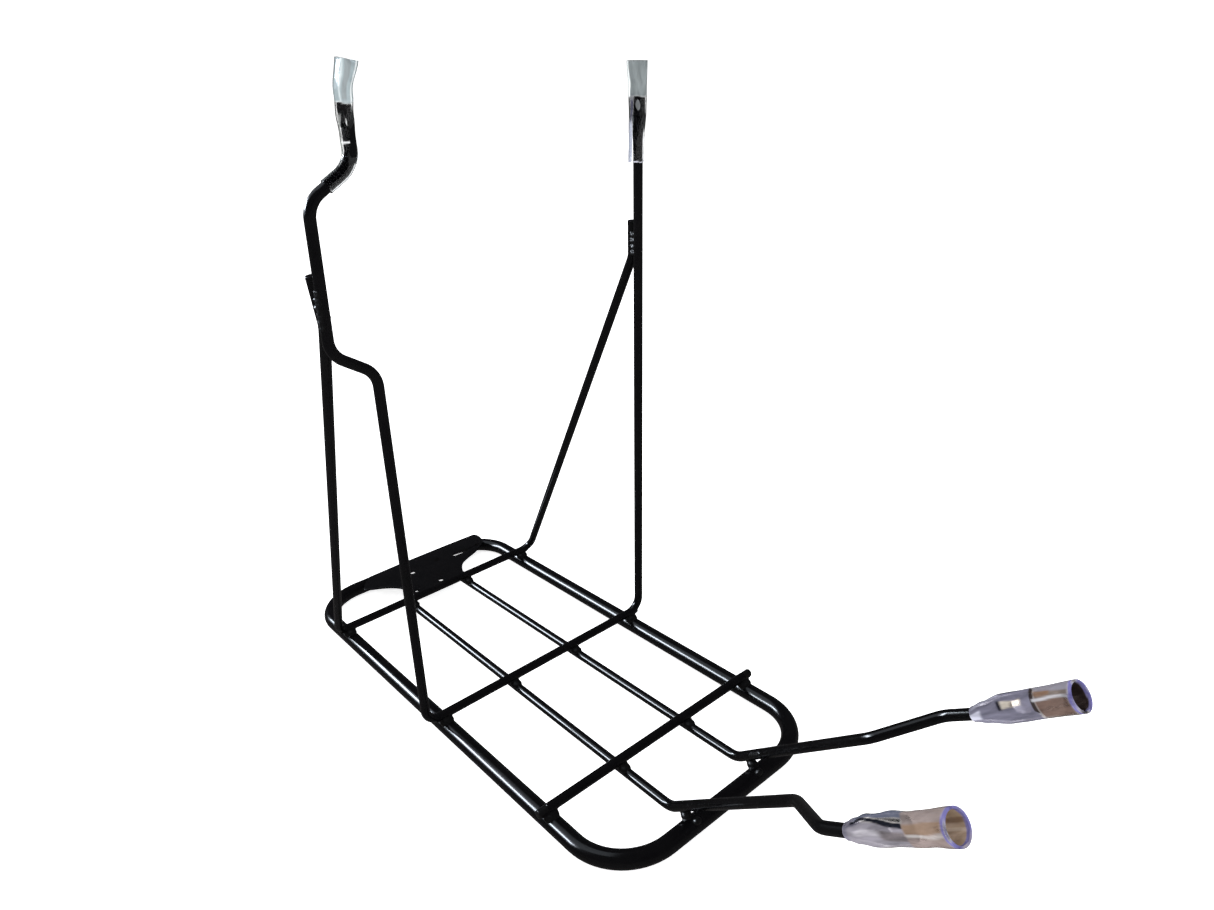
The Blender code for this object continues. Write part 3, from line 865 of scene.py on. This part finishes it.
def sleeve_mesh(path, profile, looks, dent_depth, slant, seed):
    """A soft tube along a path: dented outer skin, open end, inner skin, each painted with its look,
    painted highlights, reflections and shade included.
    """
    spots = list(along_path(path, SLEEVE_STEP))
    length = spots[-1][0]
    across = Vector((0, 1, 0))
    skins = [[], []]
    data = bmesh.new()
    tint_and_painted_light = data.verts.layers.float_color.new("tint_and_painted_light")
    for (distance, centre), along in zip(spots, tangents([point for _, point in spots])):
        share = distance / length
        last_quarter = smooth(4 * share - 3)
        last_fifth = smooth(5 * share - 4)
        depth_way = (across - along * across.dot(along)).normalized()
        wide_way = depth_way.cross(along)
        half_wide, half_deep, shift_deep = profile_at(profile, distance)
        middle = centre + depth_way * shift_deep
        inner_wall = SLEEVE_WALL + SLEEVE_LIP * last_fifth
        for rings, wall, look in zip(skins, (0.0, inner_wall), looks):
            ring = []
            for i in range(SLEEVE_SIDES):
                angle = math.tau * i / SLEEVE_SIDES
                ripple = noise.noise((math.cos(angle) * RIPPLES_ROUND,
                                      math.sin(angle) * RIPPLES_ROUND + seed, distance * RIPPLES_ALONG))
                dent = dent_depth * ripple * math.sin(math.pi * share)
                u = (half_wide - wall + dent) * math.cos(angle)
                v = (half_deep - wall + dent) * math.sin(angle)
                drop = slant * (1 - math.cos(angle - SLANT_TURN)) * last_quarter
                vert = data.verts.new(middle + wide_way * u + depth_way * v - along * drop)
                vert[tint_and_painted_light] = painted(look, share + STROKE_WANDER[0] * ripple,
                                     math.degrees(angle) + STROKE_WANDER[1] * ripple)
                ring.append(vert)
            rings.append(ring)
    skin(data, skins[0] + skins[1][::-1], closed=True)
    return data


def sleeve_paths():
    """Each sleeve's path along its rod, from its covered end to its open end."""
    right = [leg_point(LEG_RIGHT_Y, z) for z in RIGHT_LEG_SLEEVE_Z]
    step = leg_point(LEG_OFFSET_Y[1], STEP_IN_Z[0])
    corner = leg_point(LEG_LEFT_TOP_Y, STEP_IN_Z[1])
    bent = rounded_path([step.lerp(corner, LEFT_LEG_SLEEVE_START), corner,
                         leg_point(LEG_LEFT_TOP_Y, LEFT_LEG_SLEEVE_TOP)], [STEP_BEND])
    stays = []
    for sign in (-1, 1):
        wrist, tip = (Vector((x, sign * y, z)) for x, y, z in (STAY_WRIST, STAY_TIP))
        stays.append([wrist, wrist + (tip - wrist).normalized() * STAY_SLEEVE_LENGTH])
    return {"left_leg_sleeve": bent, "right_leg_sleeve": right,
            "left_stay_sleeve": stays[0], "right_stay_sleeve": stays[1]}


# Distance from the covered end, half width, half depth, shift in depth
SLEEVE_PROFILES = {
    "right_leg_sleeve": ((0, 4.2, 4.7, -1.3), (14, 4.6, 4.3, -0.9), (26, 6.0, 3.5, -0.3),
                         (36, 6.2, 3.5, -0.2), (51, 6.8, 4.3, -0.6)),
    "left_leg_sleeve": ((0, 3.4, 3.4, 0), (17, 3.5, 3.4, 0), (25, 4.7, 3.0, -0.2), (34, 5.9, 3.0, -0.3),
                        (42, 6.1, 3.4, 0.3), (60, 6.8, 4.3, 4.4)),
    "left_stay_sleeve": ((0, 3.4, 3.4, 0), (5, 4.7, 3.8, 0), (12, 6.3, 4.0, 0), (32, 6.1, 4.4, 0),
                         (50.5, 6.6, 6.2, 0)),
    "right_stay_sleeve": ((0, 3.4, 3.4, 0), (6, 4.7, 3.8, 0), (17, 6.7, 3.8, 0), (32, 6.5, 4.3, 0),
                          (50.5, 6.6, 6.2, 0)),
}
SLANT_TURN = math.radians(245)  # where a slanted mouth is highest
SLEEVE_SLANTS = {"left_leg_sleeve": 0.9}
SLEEVE_DENTS = {"right_leg_sleeve": 0.2, "left_leg_sleeve": 0.3, "left_stay_sleeve": 0.8,
                "right_stay_sleeve": 0.3}

# The outer and the inner skin's look is a base tint and then strokes, many of them painted highlights,
# painted reflections
# and painted shade: from and to along the sleeve, turn round it at both, half the stroke's breadth in
# degrees, softness of its ends, tint with milkiness
INSIDE = ((0.96, 0.95, 0.95, 0.0),)
ROUND = (0, 0), 180  # a stroke all the way round
RIM = ((0.98, 1.0), *ROUND, 0.01, (0.15, 0.14, 0.33, 0.85))
SLEEVE_LOOKS = {
    "right_leg_sleeve": ((
        (0.94, 0.95, 0.96, 0.0),
        # painted shade on the far wall, seen through the eye's hole
        ((0.40, 0.64), (137, 137), 60, 0.03, (0.22, 0.24, 0.25, 0.7)),
        ((0.67, 1.0), *ROUND, 0.015, (0.22, 0.245, 0.25, 0.68)),
        # a painted highlight line along the open end
        ((0.67, 1.0), (240, 240), 6, 0.02, (0.82, 0.86, 0.86, 0.85)),
        ((0.17, 0.60), (248, 262), 10, 0.10, (0.10, 0.10, 0.15, 0.5)),
        ((0.02, 0.38), (262, 256), 18, 0.08, (0.32, 0.34, 0.41, 0.8)),
        ((0.0, 0.004), *ROUND, 0.006, (0.60, 0.60, 0.75, 0.7)),
    ), INSIDE),
    "left_leg_sleeve": ((
        (0.94, 0.96, 0.96, 0.0),
        ((0.70, 1.0), *ROUND, 0.015, (0.34, 0.40, 0.42, 0.70)),
        ((0.73, 1.0), (330, 330), 12, 0.03, (0.26, 0.29, 0.30, 0.70)),
        # painted highlights: two thin light lines along the open end
        ((0.71, 1.0), (300, 300), 2, 0.02, (0.58, 0.64, 0.65, 0.7)),
        ((0.71, 1.0), (14, 14), 2, 0.02, (0.88, 0.92, 0.92, 0.7)),
        # painted glare beside the eye, a painted highlight ring round the sleeve, and painted glare along
        # the bend
        ((0.46, 0.57), (262, 274), 6, 0.05, (0.40, 0.42, 0.40, 0.5)),
        ((0.412, 0.418), (295, 295), 34, 0.008, (0.90, 0.91, 0.93, 0.8)),
        ((0.04, 0.40), (254, 258), 7, 0.06, (0.50, 0.55, 0.50, 0.5)),
    ), INSIDE),
    "left_stay_sleeve": ((
        (0.86, 0.82, 0.80, 0.04),
        ((0.36, 0.64), (65, 65), 85, 0.04, (0.30, 0.24, 0.22, 0.5)),
        ((0.0, 0.2), (245, 245), 110, 0.08, (0.20, 0.19, 0.24, 0.6)),
        ((0.08, 0.64), (278, 282), 46, 0.06, (0.25, 0.235, 0.27, 0.76)),
        ((0.16, 0.40), (262, 262), 5, 0.08, (0.46, 0.44, 0.48, 0.75)),
        ((0.42, 0.58), (270, 275), 14, 0.08, (0.17, 0.15, 0.16, 0.7)),
        ((0.14, 0.60), (182, 190), 16, 0.05, (0.12, 0.13, 0.18, 0.7)),
        # painted shade: two dark lines along the eye's edges, seen through the vinyl
        ((0.20, 0.50), (163, 163), 5, 0.05, (0.008, 0.009, 0.014, 0.95)),
        ((0.10, 0.62), (206, 236), 7, 0.04, (0.008, 0.009, 0.014, 0.95)),
        ((0.62, 0.96), *ROUND, 0.03, (0.30, 0.24, 0.22, 0.5)),
        ((0.62, 0.96), (190, 190), 40, 0.03, (0.30, 0.25, 0.24, 0.55)),
        ((0.62, 0.96), (248, 248), 14, 0.03, (0.26, 0.18, 0.13, 0.6)),
        # a painted highlight streak along the open end
        ((0.62, 0.97), (270, 270), 2, 0.03, (0.50, 0.47, 0.46, 0.6)),
        ((0.62, 0.96), (308, 308), 24, 0.03, (0.30, 0.24, 0.23, 0.6)),
        RIM,
    ), (
        *INSIDE,
        # painted reflection: dark brown inside the mouth, with a lighter and a darker line
        ((0.80, 0.97), (65, 65), 95, 0.12, (0.34, 0.25, 0.17, 0.88)),
        ((0.80, 0.97), (58, 58), 3, 0.08, (0.52, 0.42, 0.32, 0.9)),
        ((0.80, 0.97), (88, 88), 4, 0.08, (0.20, 0.13, 0.08, 0.9)),
        RIM,
    )),
    "right_stay_sleeve": ((
        (0.84, 0.80, 0.80, 0.05),
        ((0.44, 0.70), (68, 68), 85, 0.04, (0.20, 0.165, 0.15, 0.5)),
        ((0.0, 0.64), (245, 245), 100, 0.03, (0.17, 0.165, 0.22, 0.72)),
        # a painted highlight at the covered end
        ((0.0, 0.09), (275, 265), 24, 0.04, (0.50, 0.50, 0.60, 0.75)),
        ((0.05, 0.30), (208, 190), 10, 0.06, (0.34, 0.34, 0.42, 0.7)),
        # painted shade: a dark line along the eye's upper edge, and a dark mark just short of the eye's
        # hole
        ((0.16, 0.48), (178, 172), 7, 0.05, (0.02, 0.02, 0.03, 0.8)),
        ((0.31, 0.33), (243, 243), 13, 0.02, (0.02, 0.02, 0.03, 0.8)),
        # painted light: pale patches over the eye's hole, standing in for the bright floor seen through it
        ((0.36, 0.43), (243, 240), 11, 0.04, (0.60, 0.54, 0.46, 0.85)),
        ((0.44, 0.51), (243, 240), 11, 0.04, (0.66, 0.58, 0.50, 0.35)),
        # painted shade: a dark band at the eye's tip
        ((0.635, 0.66), (236, 246), 46, 0.008, (0.03, 0.024, 0.024, 0.85)),
        ((0.68, 0.96), *ROUND, 0.02, (0.20, 0.165, 0.15, 0.55)),
        ((0.68, 0.96), (185, 185), 26, 0.02, (0.24, 0.23, 0.27, 0.66)),
        ((0.68, 0.80), (222, 222), 7, 0.03, (0.20, 0.12, 0.08, 0.75)),
        ((0.68, 0.96), (282, 282), 28, 0.02, (0.135, 0.09, 0.075, 0.7)),
        # a painted highlight streak along the open end
        ((0.66, 0.97), (246, 242), 2, 0.03, (0.50, 0.50, 0.54, 0.6)),
        RIM,
    ), (
        *INSIDE,
        # painted reflection: dark inside the mouth
        ((0.80, 0.97), (68, 68), 90, 0.02, (0.020, 0.014, 0.013, 0.95)),
        RIM,
    )),
}


def add_sleeves():
    for seed, (name, path) in enumerate(sleeve_paths().items()):
        data = sleeve_mesh(path, SLEEVE_PROFILES[name], SLEEVE_LOOKS[name], SLEEVE_DENTS[name],
                           SLEEVE_SLANTS.get(name, 0.0), SEED_STEP * seed)
        piece = add_piece(name + "_vinyl", data, vinyl(name + "_pvc", path), [name], name)
        piece.data.set_sharp_from_angle(angle=math.radians(50))


# ---- Floor, light and camera --------------------------------------------------------------------

# In metres
FLOOR_HALF = 6.0
FLOOR_Z = -0.0005
LIT_POINT = Vector((0, 0, 0.08))

# Name, direction, distance and size in metres, power in watts, whether dull surfaces catch it
WINDOW_WAY = (-0.68, -0.57, 0.43)
SOFTBOXES = (
    ("window", WINDOW_WAY, 2.4, (1.5, 0.45), 90, False),
    ("sky_round_window", WINDOW_WAY, 2.6, (2.0, 1.3), 26, False),
    ("fill", (-0.4, -0.3, 0.85), 2.5, (2.0, 2.0), 14, True),
)


def add_floor():
    data = bmesh.new()
    data.faces.new([data.verts.new((x * FLOOR_HALF, y * FLOOR_HALF, FLOOR_Z))
                    for x, y in ((-1, -1), (1, -1), (1, 1), (-1, 1))])
    mesh = bpy.data.meshes.new("floor")
    data.to_mesh(mesh)
    data.free()
    mesh.materials.append(floor_paper())
    floor = bpy.data.objects.new("floor", mesh)
    floor.visible_glossy = False
    bpy.context.collection.objects.link(floor)


def add_softbox(name, direction, distance, size, power, diffuse):
    """A rectangular light that faces the rack from a direction."""
    light = bpy.data.lights.new(name, "AREA")
    light.shape = "RECTANGLE"
    light.size, light.size_y = size
    light.energy = power
    light.color = (0.82, 0.9, 1.0)
    made = bpy.data.objects.new(name, light)
    towards = Vector(direction).normalized()
    made.location = LIT_POINT + towards * distance
    made.rotation_euler = towards.to_track_quat("Z", "Y").to_euler()
    made.visible_diffuse = diffuse
    made.visible_transmission = False  # keeps bright specks out of the vinyl
    bpy.context.collection.objects.link(made)


def add_world():
    """White all round, but a dim room in all that is seen by reflection."""
    world = bpy.data.worlds.new("studio")
    bpy.context.scene.world = world
    world.use_nodes = True
    tree = world.node_tree
    tree.nodes.clear()
    place = tree.nodes.new("ShaderNodeTexCoord")
    split = tree.nodes.new("ShaderNodeSeparateXYZ")
    tree.links.new(place.outputs["Generated"], split.inputs[0])
    height = ranged(tree, split.outputs["Z"], 0.0, 1.0, -1.0, 1.0)
    room = tree.nodes.new("ShaderNodeBackground")
    tree.links.new(ramp(tree, height, ((0.0, (0.09, 0.087, 0.085)), (0.46, (0.07, 0.067, 0.068)),
                                       (0.54, (0.02, 0.02, 0.024)), (1.0, (0.03, 0.03, 0.036)))),
                   room.inputs["Color"])
    white = tree.nodes.new("ShaderNodeBackground")
    white.inputs["Color"].default_value = (1.0, 1.0, 1.0, 1.0)
    white.inputs["Strength"].default_value = 1.2
    path = tree.nodes.new("ShaderNodeLightPath")
    reflected = tree.nodes.new("ShaderNodeMath")
    reflected.operation = "GREATER_THAN"
    reflected.inputs[1].default_value = 0.5
    tree.links.new(path.outputs["Glossy Depth"], reflected.inputs[0])
    mix = tree.nodes.new("ShaderNodeMixShader")
    tree.links.new(reflected.outputs["Value"], mix.inputs["Fac"])
    tree.links.new(white.outputs[0], mix.inputs[1])
    tree.links.new(room.outputs[0], mix.inputs[2])
    output = tree.nodes.new("ShaderNodeOutputWorld")
    tree.links.new(mix.outputs[0], output.inputs["Surface"])


CAMERA_AT = Vector((398.5, -255.8, 345.1))  # millimetres from the middle of the leg hoop's cross rod
CAMERA_TURN = (67.276, 4.019, 49.296)  # degrees
LENS = 25.575  # millimetres, on a sensor 36 mm wide


def add_camera():
    data = bpy.data.cameras.new("camera")
    data.sensor_width = 36
    data.lens = LENS
    data.clip_start = 0.01
    camera = bpy.data.objects.new("camera", data)
    camera.location = (CAMERA_AT + ORIGIN) * MM
    camera.rotation_euler = Euler([math.radians(angle) for angle in CAMERA_TURN])
    bpy.context.collection.objects.link(camera)
    bpy.context.scene.camera = camera


def build():
    add_rods(rod_paint())
    beads = weld_paint()
    add_crossing_beads(beads)
    add_front_bar_beads(beads)
    add_brace_top_beads(beads)
    add_plate_beads(beads)
    add_tail_plate(plate_paint())
    add_sleeves()
    add_floor()
    add_world()
    for softbox in SOFTBOXES:
        add_softbox(*softbox)
    add_camera()
    bpy.context.scene.view_settings.view_transform = "Standard"


build()
